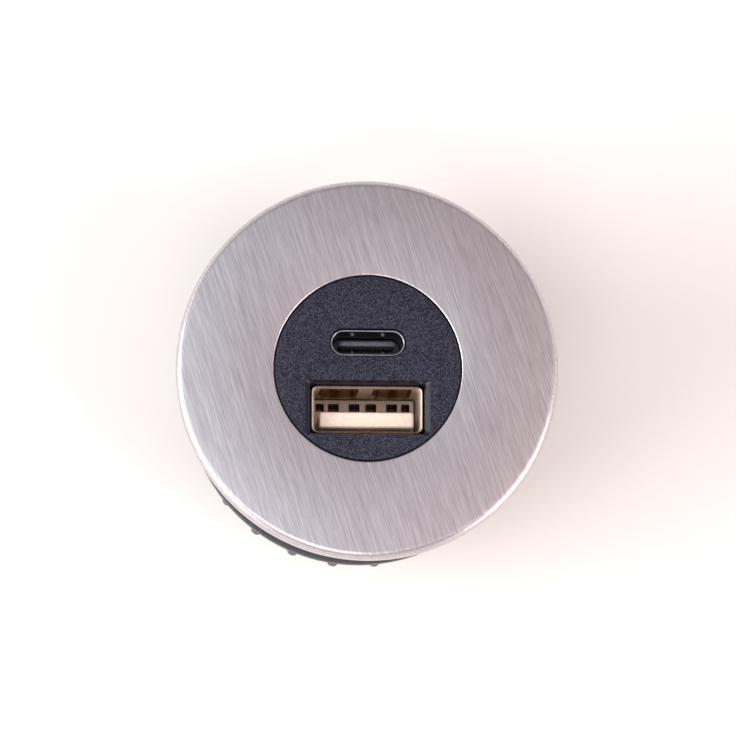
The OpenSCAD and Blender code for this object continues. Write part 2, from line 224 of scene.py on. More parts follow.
class Skin:
    """Collects surface patches in millimetres and welds them into one closed mesh."""

    def __init__(self) -> None:
        """Starts with no patches."""
        self.points: list[Array] = []
        self.quads: list[NDArray[np.int64]] = []
        self.total = 0

    def add(self, grid: Array, wrap_u: bool = False, wrap_v: bool = False,
            keep: NDArray[np.bool_] | None = None) -> "Skin":
        """Adds a grid of points as a patch of quads.

        Args:
            grid: points in rows and columns.
            wrap_u: joins the last row to the first.
            wrap_v: joins the last column to the first.
            keep: which cells stay, for a sheet with windows.

        Returns:
            This skin.
        """
        n, m = grid.shape[:2]
        i = np.arange(n if wrap_u else n - 1)[:, None]
        j = np.arange(m if wrap_v else m - 1)[None, :]
        i2, j2 = (i + 1) % n, (j + 1) % m
        cells = np.stack([i * m + j, i2 * m + j, i2 * m + j2, i * m + j2], -1)
        cells = cells[keep] if keep is not None else cells.reshape(-1, 4)
        self.points.append(grid.reshape(-1, 3))
        self.quads.append(cells + self.total)
        self.total += n * m
        return self

    def build(self, name: str, sharp: float = 35.0) -> Piece:
        """Welds the patches, turns their faces outwards and shades them smooth.

        Args:
            name: name of the new object.
            sharp: angle in degrees past which an edge stays sharp.

        Returns:
            The new object, at the origin.
        """
        points, quads = np.concatenate(self.points) * MM, np.concatenate(self.quads)
        mesh = bpy.data.meshes.new(name)
        mesh.from_pydata(points.tolist(), [], quads.tolist())
        obj = bpy.data.objects.new(name, mesh)
        bpy.context.scene.collection.objects.link(obj)
        return welded(obj, sharp)


def welded(obj: Piece, sharp: float) -> Piece:
    """Merges doubled points, faces the mesh outwards and smooths all but its sharp edges.

    Args:
        obj: the object to finish.
        sharp: angle in degrees past which an edge stays sharp.

    Returns:
        The same object.
    """
    made = bmesh.new()
    made.from_mesh(obj.data)
    bmesh.ops.remove_doubles(made, verts=made.verts, dist=2e-7)
    bmesh.ops.dissolve_degenerate(made, edges=made.edges, dist=1e-8)
    bmesh.ops.recalc_face_normals(made, faces=made.faces)
    made.to_mesh(obj.data)
    made.free()
    obj.data.shade_smooth()
    obj.data.set_sharp_from_angle(angle=math.radians(sharp))
    return obj


def eased(obj: Piece, width: float, sharp: float = 35.0) -> Piece:
    """Breaks the sharp edges of a piece with a small round.

    Args:
        obj: the piece.
        width: width of the round in millimetres.
        sharp: angle in degrees past which an edge is rounded.

    Returns:
        The same piece.
    """
    bevel = obj.modifiers.new("broken edges", "BEVEL")
    bevel.width, bevel.segments, bevel.limit_method = width * MM, 2, "ANGLE"
    bevel.angle_limit = math.radians(sharp)
    return obj


def cad_copy(node: str, width: float, tip: float = 0.0) -> Piece:
    """A merged copy of a CAD node with its edges broken.

    Args:
        node: name of the CAD node.
        width: width of the broken edges in millimetres.
        tip: radius in millimetres of the edges that reach its highest face, if they are rounder.

    Returns:
        The new piece.
    """
    obj = bpy.data.objects.new(node + "_moulded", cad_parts[node].data.copy())
    bpy.context.scene.collection.objects.link(obj)
    if obj.data.has_custom_normals:
        with bpy.context.temp_override(object=obj, active_object=obj):
            bpy.ops.mesh.customdata_custom_splitnormals_clear()
    made = bmesh.new()
    made.from_mesh(obj.data)
    bmesh.ops.remove_doubles(made, verts=made.verts, dist=1e-6)
    bmesh.ops.dissolve_limit(made, angle_limit=math.radians(0.6), verts=made.verts, edges=made.edges)
    if tip:
        high = max(corner[2] for corner in obj.bound_box) - 0.01 * MM
        edges = [e for e in made.edges if max(e.verts[0].co.z, e.verts[1].co.z) > high]
        bmesh.ops.bevel(made, geom=edges, offset=tip * MM, offset_type="OFFSET", segments=4, profile=0.5,
                        affect="EDGES", clamp_overlap=True)
    made.to_mesh(obj.data)
    made.free()
    obj.data.materials.clear()
    return eased(welded(obj, 35.0), width)


# ---- finishes


def linear(hex_colour: str) -> tuple[float, ...]:
    """Turns an sRGB hex colour, six digits after a hash, into linear red, green and blue with an alpha of one."""
    parts = [int(hex_colour[i:i + 2], 16) / 255 for i in (1, 3, 5)]
    return *(c / 12.92 if c <= 0.04045 else ((c + 0.055) / 1.055) ** 2.4 for c in parts), 1.0


def put(tree: bpy.types.NodeTree, kind: str, inputs: dict[Any, Any] | None = None, out: int | str = 0,
        **settings: Any) -> Socket | None:
    """Adds one node with its settings, values and links.

    Args:
        tree: the node tree.
        kind: the node's type name without its prefix.
        inputs: socket name or index to a value, or to the output socket that feeds it.
        out: name or index of the output that is wanted.
        **settings: attributes of the node.

    Returns:
        That output, or None from a node that ends the tree.
    """
    node = tree.nodes.new("ShaderNode" + kind)
    for key, value in settings.items():
        setattr(node, key, value)
    for key, value in (inputs or {}).items():
        if isinstance(value, Socket):
            tree.links.new(value, node.inputs[key])
        else:
            node.inputs[key].default_value = value
    return node.outputs[out] if node.outputs else None


def blank(name: str) -> tuple[bpy.types.Material, Adder, Socket]:
    """Starts a material.

    Args:
        name: the material's name.

    Returns:
        The material, what adds a node to it, and the object coordinates in millimetres.
    """
    material = bpy.data.materials.new(name)
    material.use_nodes = True
    material.node_tree.nodes.clear()
    add = partial(put, material.node_tree)
    return material, add, add("Mapping", {"Vector": add("TexCoord", out="Object"), "Scale": (1000, 1000, 1000)})


@dataclass(frozen=True)
class Finish:
    """What a piece is made of and how its surface was made, with its two colours and its mean roughness."""

    name: str
    dark: str
    light: str
    roughness: float

    def inputs(self, add: Adder, place: Socket) -> dict[str, Any]:
        """The shader's inputs, which each kind of finish works out in nodes from the place in millimetres."""
        raise NotImplementedError

    @cache
    def material(self) -> bpy.types.Material:
        """Makes the node material on first use.

        Returns:
            The material.
        """
        material, add, place = blank(self.name)
        add("OutputMaterial", {"Surface": add("BsdfPrincipled", self.inputs(add, place))})
        return material


@dataclass(frozen=True)
class Polymer(Finish):
    """A moulded or pressed solid: a speckled colour over a grain that also moves the surface.

    Attributes:
        grain: size of its grain in millimetres.
        depth: height of the grain in millimetres.
        drift: size in millimetres of the slow change of gloss across it.
        ior: refractive index.
        coat: weight of a clear skin.
        scatter: weight of light carried under the surface.
        texture: the kind of grain.
        spread: values of the grain that turn fully dark and fully light.
        below: height in millimetres under which the grain stops and the surface is glossy.
        deep: a painted shade colour under that height, if one is wanted.
    """

    grain: float
    depth: float
    drift: float = 6.0
    ior: float = 1.5
    coat: float = 0.0
    scatter: float = 0.0
    texture: Grain = Grain.CLOUDS
    spread: Pair = (0.38, 0.65)
    below: float = -100.0
    deep: str = ""

    # What the grain and the roughness come to under that height
    FLAT: ClassVar[float] = 0.45
    GLOSSY: ClassVar[float] = 0.25

    def inputs(self, add: Adder, place: Socket) -> dict[str, Any]:
        """Works out the shader's inputs.

        The grain, stretched between the spread's two values, is the share of the lighter colour.

        Args:
            add: adds a node.
            place: the place in millimetres.

        Returns:
            Socket name to value or feeding socket.
        """
        cell = {"Vector": place, "Scale": 1 / self.grain}
        if self.texture is Grain.CLOUDS:
            grain = add("TexNoise", cell | {"Detail": 3.0, "Roughness": 0.6})
        elif self.texture is Grain.PITS:
            grain = add("TexVoronoi", cell)
        else:
            grain = add("SeparateColor", {"Color": add("TexVoronoi", cell, "Color")})
        level = add("SeparateXYZ", {"Vector": place}, "Z")
        grained = add("MapRange", {"Value": level, "From Min": self.below, "From Max": self.below + 0.03})
        grain = add("Mix", {"Factor": grained, 2: self.FLAT, 3: grain})
        speck = add("MapRange", {"Value": grain, "From Min": self.spread[0], "From Max": self.spread[1]})
        colour = add("Mix", {"Factor": speck, 6: linear(self.dark), 7: linear(self.light)}, 2, data_type="RGBA")
        # Under that height a painted shade colour takes the place of the speckle.
        if self.deep:
            colour = add("Mix", {"Factor": grained, 6: linear(self.deep), 7: colour}, 2, data_type="RGBA")
        drift = add("TexNoise", {"Vector": place, "Scale": 1 / self.drift, "Detail": 2.0})
        rough = add("MapRange", {"Value": drift, "From Min": 0.3, "From Max": 0.7,
                                 "To Min": self.roughness - 0.05, "To Max": self.roughness + 0.05})
        return {"Base Color": colour, "Roughness": add("Mix", {"Factor": grained, 2: self.GLOSSY, 3: rough}),
                "Normal": add("Bump", {"Height": grain, "Strength": 1.0, "Distance": self.depth * MM}),
                "IOR": self.ior, "Coat Weight": self.coat, "Coat Roughness": 0.25,
                "Subsurface Weight": self.scatter, "Subsurface Scale": 0.0006}


@dataclass(frozen=True)
class Metal(Finish):
    """A worked metal: fine straight marks in one direction over a slow change of tone.

    Attributes:
        spread: how far the marks change the roughness either way.
        line: distance between marks in millimetres.
        length: length of the marks in millimetres.
        lay: direction of the marks on plan, in degrees from the X axis.
        depth: depth of the marks in millimetres.
        anisotropy: how far a highlight is drawn out across the marks.
        bare: share of the surface that is bare metal; the rest is dull plating.
        hairlines: strength of the few long, thin scratches that stand out.
    """

    spread: float = 0.05
    line: float = 0.2
    length: float = 2.0
    lay: float = 90.0
    depth: float = 0.001
    anisotropy: float = 0.0
    bare: float = 1.0
    hairlines: float = 0.0

    # Distance between hairlines in millimetres, and length, place in the noise and sign of the light and the dark ones
    HAIR: ClassVar[float] = 0.13
    HAIRLINES: ClassVar[tuple[tuple[float, float, float], ...]] = ((7.0, 3.1, 1.0), (4.5, 9.7, -1.0))

    def inputs(self, add: Adder, place: Socket) -> dict[str, Any]:
        """Works out the shader's inputs.

        Two noises drawn out along the lay, one finer than the other, are mixed into the share of the lighter colour.
        Where a third and a fourth peak, a light and a dark hairline are added.

        Args:
            add: adds a node.
            place: the place in millimetres.

        Returns:
            Socket name to value or feeding socket.
        """
        lay = math.radians(self.lay)
        along = add("VectorRotate", {"Vector": place, "Angle": -lay}, rotation_type="Z_AXIS")

        def streaks(length: float, line: float, seed: float, detail: float = 2.0, rough: float = 0.65) -> Socket:
            """Noise drawn out along the lay, in streaks of this length and distance in millimetres."""
            drawn = {"Vector": along, "Location": (seed,) * 3, "Scale": (1 / length, 1 / line, 1 / line)}
            return add("TexNoise", {"Vector": add("Mapping", drawn), "Scale": 1, "Detail": detail, "Roughness": rough})

        both = add("Mix", {"Factor": 0.35, 2: streaks(self.length, self.line, 0.0),
                           3: streaks(self.length * 3.5, self.line * 2.7, 7.3)})
        tone = add("MapRange", {"Value": both, "From Min": 0.34, "From Max": 0.66})
        if self.hairlines:
            for length, seed, sign in self.HAIRLINES:
                few = add("MapRange", {"Value": streaks(length, self.HAIR, seed, 1.0, 0.5), "From Min": 0.62,
                                       "From Max": 0.70, "To Max": sign * self.hairlines})
                tone = add("Math", {0: tone, 1: few}, operation="ADD", use_clamp=sign < 0)
        rough = add("MapRange", {"Value": both, "From Min": 0.3, "From Max": 0.7,
                                 "To Min": self.roughness + self.spread, "To Max": self.roughness - self.spread})
        found = {
            "Base Color": add("Mix", {"Factor": tone, 6: linear(self.dark), 7: linear(self.light)}, 2,
                              data_type="RGBA"),
            "Roughness": rough, "Metallic": self.bare, "Anisotropic": self.anisotropy,
            "Normal": add("Bump", {"Height": both, "Strength": 1.0, "Distance": self.depth * MM})}
        if self.anisotropy:
            found["Tangent"] = add("CombineXYZ", {"X": math.cos(lay), "Y": math.sin(lay)})
        return found


# Stainless strip, finished with a long straight belt: grey-lilac with short bright scratches all one way.
BRUSHED_STAINLESS = Metal("belt brushed stainless steel", "#a8a2a5", "#d4ced1", 0.34, 0.04, 0.09, 3.2, 108.0,
                          0.0008, anisotropy=0.5, hairlines=0.30)
# Nickel on stamped steel: satin, painted a warm beige-grey as a painted reflection of the ivory tongue beside it.
NICKEL_STAMPING = Metal("nickel plated steel stamping", "#c0ae9e", "#eedfd0", 0.40, line=0.25, length=1.5,
                        bare=0.6)
# The blanked edges of that sheet: bare steel, dull and brownish.
BLANKED_EDGE = Metal("blanked steel edge", "#55483f", "#8a786c", 0.36, line=0.25, length=0.6)
# The spring leaves: the same sheet but smoother, painted dark brown as a painted reflection of the port's dark inside.
LEAF_PAINTED_REFLECTION = Metal("nickel spring leaf, painted reflection", "#75603f", "#a28a5f", 0.24, line=0.25, length=1.5)
# Nickel on a deep-drawn tube: cooler, and painted darker as painted shade for the light that the slot keeps off it.
NICKEL_TUBE = Metal("nickel plated deep drawn steel", "#76757c", "#a2a2aa", 0.28, length=1.2, lay=0.0)
# Bright zinc on cold-headed steel: a bluish grey with a slightly cloudy gloss.
ZINC_SCREW = Metal("zinc plated cold headed steel", "#8c9096", "#c4c8cc", 0.34, 0.06, 0.3, 0.8, 20.0)
# Turned brass under nickel: ring marks too fine to see, so a soft silvery gloss.
NICKEL_TURNED = Metal("nickel plated turned brass", "#a5a5a3", "#d3d2cf", 0.28, length=0.8, lay=0.0)
# Hard gold over nickel on the wiping contacts: deep yellow, smooth.
CONTACT_GOLD = Metal("gold plated contact bronze", "#a37a30", "#d0aa5a", 0.24, 0.04, depth=0.0005)
# The gold of the small outlet: a brownish yellow, darkened as painted shade for the depth of the slot.
GOLD_IN_PAINTED_SHADE = Metal("gold plating, painted shade", "#54431f", "#776035", 0.34, 0.04, depth=0.0005)
# Tinned phosphor bronze: dull warm silver.
TINNED_BRONZE = Metal("tinned phosphor bronze", "#9d947c", "#c9c1aa", 0.38, length=1.2)
# Drawn aluminium can: soft satin silver.
DRAWN_CAN = Metal("drawn aluminium can", "#a9abad", "#d4d6d8", 0.36, lay=0.0)

# ABS from a spark-eroded mould: charcoal with a blue cast, covered in small craters that glint one by one. The real
# craters are about 0.05 mm across and are drawn at 0.12 mm, which is as fine as shows at this distance. The walls of
# the openings come off polished steel, so they are smooth and mirror a little.
ERODED_ABS = Polymer("spark eroded charcoal ABS", "#060613", "#38394a", 0.60, 0.12, 0.02, 9.0, 1.34,
                     texture=Grain.CRATERS, spread=(0.35, 0.9), below=2.36)
# ABS from a satin mould: near black, softer gloss on the threads.
SATIN_ABS = Polymer("satin moulded black ABS", "#1f1f23", "#2b2b30", 0.42, 0.35, 0.006, 7.0, 1.53)
# Glass-filled nylon: greyer black, with a slightly dry, stippled skin.
FILLED_NYLON = Polymer("glass filled black nylon", "#24242a", "#36363d", 0.50, 0.28, 0.014, 5.0, 1.53)
# PBT of the USB-A tongue: warm ivory with a soft edge, as light passes a little way in. Down in the slots of its
# base, under -9.2 mm, it is painted dark brown as painted shade; the plastic is ivory all through.
IVORY_PBT = Polymer("moulded ivory PBT", "#f2dcc8", "#fae8d6", 0.40, 0.5, 0.002, 4.0, 1.55, 0.0, 0.12,
                    below=-9.2, deep="#8a5238")
# LCP of the USB-C tongue: dark grey with a fine flow pattern.
FLOWED_LCP = Polymer("moulded dark grey LCP", "#33333b", "#4b4b55", 0.42, 0.2, 0.003, 3.0, 1.6)
# Closed-cell neoprene foam: sooty black with cut pores.
CELL_FOAM = Polymer("closed cell neoprene foam", "#0f0f10", "#232325", 0.85, 0.4, 0.08, 5.0, 1.5, texture=Grain.PITS)
# Acrylic foam tape: dull dark grey.
FOAM_TAPE = Polymer("acrylic foam tape", "#3a3a3c", "#4b4b4e", 0.75, 0.3, 0.02, 5.0, 1.48, texture=Grain.PITS)
# Glass-epoxy laminate under solder mask: glossy green over the weave of the cloth, whose thread is 0.5 mm.
MASKED_LAMINATE = Polymer("solder masked glass epoxy", "#12482c", "#1d6a42", 0.28, 0.5, 0.004, 8.0, 1.55, 0.4)
# Iron powder pressed with resin: dry, granular grey.
PRESSED_IRON = Polymer("pressed iron powder", "#3f4043", "#5d5e62", 0.62, 0.18, 0.01, 3.0, 1.6)
# Epoxy chip body: black with a very fine matt stipple.
CHIP_EPOXY = Polymer("transfer moulded epoxy", "#151517", "#202023", 0.60, 0.15, 0.006, 3.0, 1.55)
# Fired ceramic: tan and smooth.
FIRED_CERAMIC = Polymer("fired tan ceramic", "#8f6d45", "#b69064", 0.36, 0.3, 0.002, 2.0, 1.6)
# PVC wire insulation: soft gloss with a slight orange peel from the extruder.
RED_PVC = Polymer("extruded red PVC", "#8f1b17", "#ae2a24", 0.34, 0.6, 0.004, 3.0, 1.53)
BLACK_PVC = Polymer("extruded black PVC", "#101012", "#1c1c1f", 0.34, 0.6, 0.004, 3.0, 1.53)

CAD_FINISHES: dict[str, Finish] = {
    "trim_adhesive": FOAM_TAPE,
    "usb_a_contacts": CONTACT_GOLD,
    "usb_c_contacts": GOLD_IN_PAINTED_SHADE,
    "usb_c_riser": FLOWED_LCP,
    "main_board": MASKED_LAMINATE,
    "charge_controller_chips": CHIP_EPOXY,
    "filter_capacitors": DRAWN_CAN,
    "ceramic_capacitors": FIRED_CERAMIC,
    "positive_lead": RED_PVC,
    "negative_lead": BLACK_PVC,
    "dc_inlet_spring": TINNED_BRONZE,
}


def dress(piece: Piece, finish: Finish) -> None:
    """Gives a piece its one material.

    Args:
        piece: the object to dress.
        finish: its finish.
    """
    for slot in piece.material_slots:
        slot.material = finish.material()
    if not piece.material_slots:
        piece.data.materials.append(finish.material())


def fit(piece: Piece, finish: Finish, node: str, body: Body = Body.HOUSING) -> None:
    """Dresses a new piece and lets it stand for its CAD node.

    Args:
        piece: the new piece.
        finish: its finish.
        node: the CAD node it replaces, which is hidden.
        body: the body it rides on.
    """
    dress(piece, finish)
    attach(piece, body.value)
    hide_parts(node)
    LOG.info("%s: %s, %d points", node, finish.name, len(piece.data.vertices))


# ---- sub-assemblies


@dataclass
class Trim:
    """The steel ring and the foam gasket under the flange. Sizes are in millimetres."""

    outer: float = 22.5
    hole: float = 11.05
    sheet: float = 0.8
    roll: float = 0.9
    bevel: float = 0.22
    skirt: float = 0.15
    gasket: Pair = (18.3, 21.1)

    def ring(self) -> None:
        """The ring: a flat sheet whose rim rolls down into a skirt, carried round the axis."""
        inner = self.outer - self.sheet
        corners = [(self.hole, PLATE_TOP), (self.hole, FACE_TOP), (self.outer, FACE_TOP), (self.outer, self.skirt),
                   (inner, self.skirt), (inner, PLATE_TOP)]
        radii = [0.06, self.bevel, self.roll, 0.15, 0.1, 0.25]
        fit(revolved("steel_trim_ring", corners, radii, 9, 360, 60), BRUSHED_STAINLESS, "trim_ring")

    def foam(self) -> None:
        """The gasket: a flat washer of foam with slightly crushed edges."""
        a, b = self.gasket
        ring = revolved("foam_gasket", [(a, 0.0), (b, 0.0), (b, 0.5), (a, 0.5)], [0.1] * 4, 5, 192, 60)
        fit(ring, CELL_FOAM, "flange_gasket")

    def build(self) -> None:
        """Builds and dresses both pieces."""
        self.ring()
        self.foam()


@dataclass(frozen=True)
class Opening:
    """One port's opening in the face, on the Y axis. Sizes are in millimetres.

    The size is its width and height at the bottom, and the slope is how far its ends and sides lean out to the top.
    """

    centre: float
    size: Pair
    corner: float
    slope: Pair = (0.0, 0.0)

    def outline(self, ends: float, sides: float, angles: Array) -> Array:
        """Its outline, whose distance from its centre is read off a rounded slot by angle.

        Args:
            ends: how far its short ends are moved outwards.
            sides: how far its long sides are moved outwards.
            angles: angles round its centre in radians, rising.

        Returns:
            Points relative to the axis.
        """
        ring = rounded_slot(self.size[0] + 2 * ends, self.size[1] + 2 * sides, self.corner, 9)
        step = np.linspace(0, 1, 40, endpoint=False)[:, None]
        ring = (ring[:, None] * (1 - step) + np.roll(ring, -1, 0)[:, None] * step).reshape(-1, 2)
        phi = np.arctan2(ring[:, 1], ring[:, 0])
        order = np.argsort(phi)
        reach = np.interp(angles, phi[order], np.hypot(*ring[order].T), period=2 * np.pi)
        return np.c_[reach * np.cos(angles), self.centre + reach * np.sin(angles)]

    def rays(self, radius: float) -> tuple[Array, Array]:
        """Where rays from its centre through its outline meet the half disc that it lies in.

        Args:
            radius: the disc's radius.

        Returns:
            The places on the dividing line, and the angles round the axis on the rim.
        """
        cy = self.centre
        ring = rounded_slot(*self.size, self.corner, 7)
        phi = np.concatenate([np.arctan2(ring[:, 1], ring[:, 0]), np.linspace(-np.pi, np.pi, 96, endpoint=False)])
        dx, dy = np.cos(phi), np.sin(phi)
        with np.errstate(divide="ignore"):
            x = dx * (-cy / dy)
        inside = (dy * cy < 0) & (np.abs(x) < radius - 0.05)
        far = -cy * dy + np.sqrt((cy * dy) ** 2 + radius**2 - cy * cy)
        rim = np.arctan2(cy + far * dy, far * dx)[~inside]
        return x[inside], rim[np.sign(cy) * np.sin(rim) > 0.01]


@dataclass
class Face:
    """The black face with its two port openings. Sizes are in millimetres."""

    radius: float = 10.9
    shoulder: float = 13.0
    spigot: float = 12.2
    under: float = -0.6
    edge: float = 0.08
    chamfer: float = 0.34
    pocket: Opening = Opening(-4.65, (13.4, 5.8), 0.35, (0.6, 0.3))
    slot: Opening = Opening(3.05, (9.04, 3.3), 9.0)

    def build(self) -> None:
        """Builds and dresses the insert, closed all round.

        The face is split along a line between the openings. In each half, rays from the opening's centre tie points
        of its outline to points of the half disc's border. The rim is carried down the side, and the pocket's walls
        go down with a chamfer at the short ends and an even slope on the long sides.
        """
        skin, top, e = Skin(), FACE_TOP, self.edge
        turn = np.linspace(0, np.pi / 2, 5)
        halves = [(hole, *hole.rays(self.radius)) for hole in (self.pocket, self.slot)]
        line = np.unique(np.round(np.concatenate([x for _, x, _ in halves] + [[-self.radius, self.radius]]), 4))
        for hole, _, arc in halves:
            arc = np.unique(np.round(arc, 5))
            chord = line[::int(np.sign(hole.centre))]
            unit = np.concatenate([np.c_[chord / self.radius, 0 * chord], np.c_[np.cos(arc), np.sin(arc)]])
            phi = np.unwrap(np.arctan2(unit[:, 1] * self.radius - hole.centre, unit[:, 0] * self.radius))
            order = np.argsort(phi)
            phi, unit = phi[order], unit[order]
            ends, sides = hole.slope
            rows = [(ends + e - e * np.cos(t), sides + e - e * np.cos(t), top - e + e * np.sin(t)) for t in turn[::-1]]
            rows += [(0.2 * ends, 0.76 * sides, top - self.chamfer), (0.0, 0.0, A_MOUTH), (0.0, 0.0, self.under)]
            rings = [unit * (self.radius - e), *(hole.outline(a, b, phi) for a, b, _ in rows), unit * self.spigot]
            skin.add(lofted(rings, [top, *(z for *_, z in rows), self.under]), wrap_v=True)
        angles = np.sort(np.concatenate([np.unique(np.round(arc, 5)) for *_, arc in halves] + [[0.0, np.pi]]))
        side = [(self.radius - e + e * np.sin(t), top - e + e * np.cos(t)) for t in turn]
        side += [(self.radius, PLATE_TOP), (self.shoulder, PLATE_TOP), (self.shoulder, 0.4), (self.spigot, 0.4),
                 (self.spigot, self.under)]
        path = np.array(side)
        skin.add(polar(path[:, None, 0], angles, path[:, None, 1]), wrap_v=True)
        fit(skin.build("charcoal_face", 40), ERODED_ABS, "face_insert")


@dataclass
class UsbA:
    """The USB-A port: shell, tongue and base. Sizes are in millimetres."""

    centre: float = -4.65
    size: Pair = (13.14, 5.72)
    wall: float = 0.3
    corner: float = 0.75
    length: float = 14.0
    leaves: Pair = (-3.2, 3.2)

    def sheet(self, skin: Skin, name: str, finish: Finish) -> None:
        """Gives a sheet its thickness, breaks its edges and dresses it, its rims in blanked steel.

        Args:
            skin: the middle surface of the sheet.
            name: name of the new piece.
            finish: its finish.
        """
        obj = skin.build(name, 45)
        solid = obj.modifiers.new("sheet thickness", "SOLIDIFY")
        solid.thickness, solid.offset = (self.wall - 0.06) * MM, 0.0
        solid.material_offset_rim = 1
        fit(eased(obj, 0.06, 50), finish, "usb_a_shell")
        obj.data.materials.append(BLANKED_EDGE.material())

    def shell(self) -> None:
        """The shell: one sheet wrapped round, with a window for each leaf and a mouth that leans out at its ends.

        The sheet is a grid of outline by depth, with the windows' cells left out.
        """
        w, h = self.size[0] - self.wall, self.size[1] - self.wall
        corners = rounded_slot(w, h, self.corner - self.wall / 2, 6).reshape(4, 6, 2)
        marks = np.array([x + d for x in self.leaves for d in (-2.3, -2.0, -1.4, 1.4, 2.0, 2.3)])
        low = np.c_[marks, -h / 2 + 0 * marks]
        high = np.c_[marks[::-1], h / 2 + 0 * marks]
        ring = np.concatenate([corners[0], low, corners[1], corners[2], high, corners[3]])
        depths = np.array([0.14, 0.28, 0.5, 1.4, 6.5, self.length - 0.05])
        grid = lofted([ring * (1 + 2 * out / w, 1) for out in (0.16, 0.04, -0.1, -0.1, 0.0, 0.0)],
                      A_MOUTH - depths, (0.0, self.centre))
        keep = np.ones((len(depths) - 1, len(ring)), bool)
        for start in (6, 30):
            for first in (0, 6):
                keep[3, start + first:start + first + 5] = False
        self.sheet(Skin().add(grid, wrap_v=True, keep=keep), "usb_a_drawn_shell", NICKEL_STAMPING)

    def springs(self) -> None:
        """The four leaves: strips whose offset from the wall is a squared sine of their run, bent back at the tip."""
        h = self.size[1] - self.wall
        run = np.linspace(0, 1, 14)
        bend = np.where(run < 0.82, np.sin(run / 0.82 * np.pi / 2) ** 2, 1 - ((run - 0.82) / 0.18) ** 1.5 * 0.3)
        skin = Skin()
        for side, dip in ((-1, 0.34), (1, 0.62)):
            for x in self.leaves:
                across = np.array([-2.15, -1.4, 1.4, 2.15]) * (1 - 0.06 * run[:, None] ** 2)
                skin.add(cloud(x + across, self.centre + side * (h / 2 - dip * bend[:, None]),
                               A_MOUTH - 1.35 - 4.85 * run[:, None]))
        self.sheet(skin, "usb_a_spring_leaves", LEAF_PAINTED_REFLECTION)

    def build(self) -> None:
        """Builds and dresses the shell, its leaves and the ivory insulator."""
        self.shell()
        self.springs()
        fit(cad_copy("usb_a_insulator", 0.1, 0.32), IVORY_PBT, "usb_a_insulator")


@dataclass
class UsbC:
    """The USB-C port: shell and tongue. Sizes are in millimetres."""

    centre: float = 3.05
    size: Pair = (8.94, 3.2)
    wall: float = 0.3
    length: float = 7.6
    dimples: Pair = (-1.8, 1.8)
    dimple_depth: float = 0.9
    dimple_radius: float = 0.5
    tip: Plan = (6.2, 0.6, 0.28)
    blade: Plan = (6.7, 0.58, 0.28)
    base: Plan = (8.24, 2.46, 1.22)

    def shell(self) -> None:
        """The shell: a slot outline carried over a rounded mouth and down the inside, with four pressed dimples.

        A dimple's height is its radius times the squared cosine of the way out from its middle.
        """
        w, h = self.size
        mouth, turn = C_MOUTH, np.linspace(0, np.pi, 9)
        lip = self.wall / 2
        inset = np.concatenate([[0.0], lip * (1 - np.cos(turn)), [self.wall]])
        z = np.concatenate([[mouth - self.length], mouth - lip + lip * np.sin(turn), [mouth - self.length]])
        rings = [rounded_slot(w - 2 * i, h - 2 * i, h / 2 - i, 12) for i in inset]
        skin = Skin().add(lofted(rings, z, (0.0, self.centre)), True, True)
        out = np.linspace(1e-4, self.dimple_radius, 6)
        rise = self.dimple_radius * np.cos(out / self.dimple_radius * np.pi / 2) ** 2
        cap = turned(np.c_[out, rise], 20)
        for x in self.dimples:
            for side in (-1, 1):
                wall = side * (h / 2 - self.wall + 0.01)
                skin.add(cloud(x + cap[..., 0], self.centre + wall - side * cap[..., 2],
                               mouth - self.dimple_depth + cap[..., 1]), wrap_u=True)
        fit(skin.build("usb_c_drawn_shell", 50), NICKEL_TUBE, "usb_c_shell")

    def tongue(self) -> None:
        """The tongue with a narrower tip, and the base that fills the shell's depth, as rounded blocks."""
        skin = Skin()
        for plan, low, high, edge in ((self.tip, -2.0, -0.7, 0.12), (self.blade, -6.2, -1.2, 0.15),
                                      (self.base, -self.length, -5.2, 0.1)):
            skin.add(block(plan, C_MOUTH + low, C_MOUTH + high, edge, (0.0, self.centre)), wrap_v=True)
        fit(skin.build("usb_c_tongue_moulding", 50), FLOWED_LCP, "usb_c_tongue")

    def build(self) -> None:
        """Builds and dresses the shell and the tongue."""
        self.shell()
        self.tongue()


@dataclass
class Barrel:
    """The housing: flange, collar, threaded barrel, board rails and screw bosses. Sizes are in millimetres."""

    bore: float = 14.0
    core: float = 15.9
    collar: float = 17.0
    crest: float = 16.9
    flange: float = 21.4
    throat: float = 12.4
    run_span: float = 76.0
    first_run: float = -37.9
    runs: int = 43

    def build(self) -> None:
        """Builds and dresses a profile turned round the axis, the thread's runs on it, and bosses and rails inside."""
        corners = [(self.bore, RIM), (self.core, RIM), (self.core, -4.0), (self.collar, -4.0), (self.collar, 0.5),
                   (self.flange, 0.5), (self.flange, 1.4), (13.2, 1.4), (13.2, 0.4), (self.throat, 0.4),
                   (self.throat, -2.5), (self.bore, -2.5)]
        radii = [0.2, 0.35, 0.3, 0.3, 0.25, 0.2, 0.2, 0.1, 0.1, 0.1, 0.1, 0.3]
        skin = Skin().add(turned(softened(corners, radii, 6), 240), True, True)
        for run in thread_runs(self.core - 0.4, self.crest, self.run_span, self.first_run, self.runs):
            skin.add(run, wrap_v=True)
        foot, tip = COVER_TOP, COVER_TOP + 10.4
        boss = softened([(1.0, foot), (2.2, foot), (2.2, tip), (1.0, tip)], [0.1, 0.15, 0.3, 0.1], 4)
        for a in SCREW_BEARINGS:
            skin.add(turned(boss, 40) + polar(SCREW_CIRCLE, a, 0.0), True, True)
        for side in (-1, 1):
            for y in (-2.55, 0.57):
                skin.add(block((2.3, 1.3, 0.2), -25.0, -2.6, 0.2, (side * 13.05, y)), wrap_v=True)
        fit(skin.build("threaded_barrel", 40), SATIN_ABS, "threaded_housing")


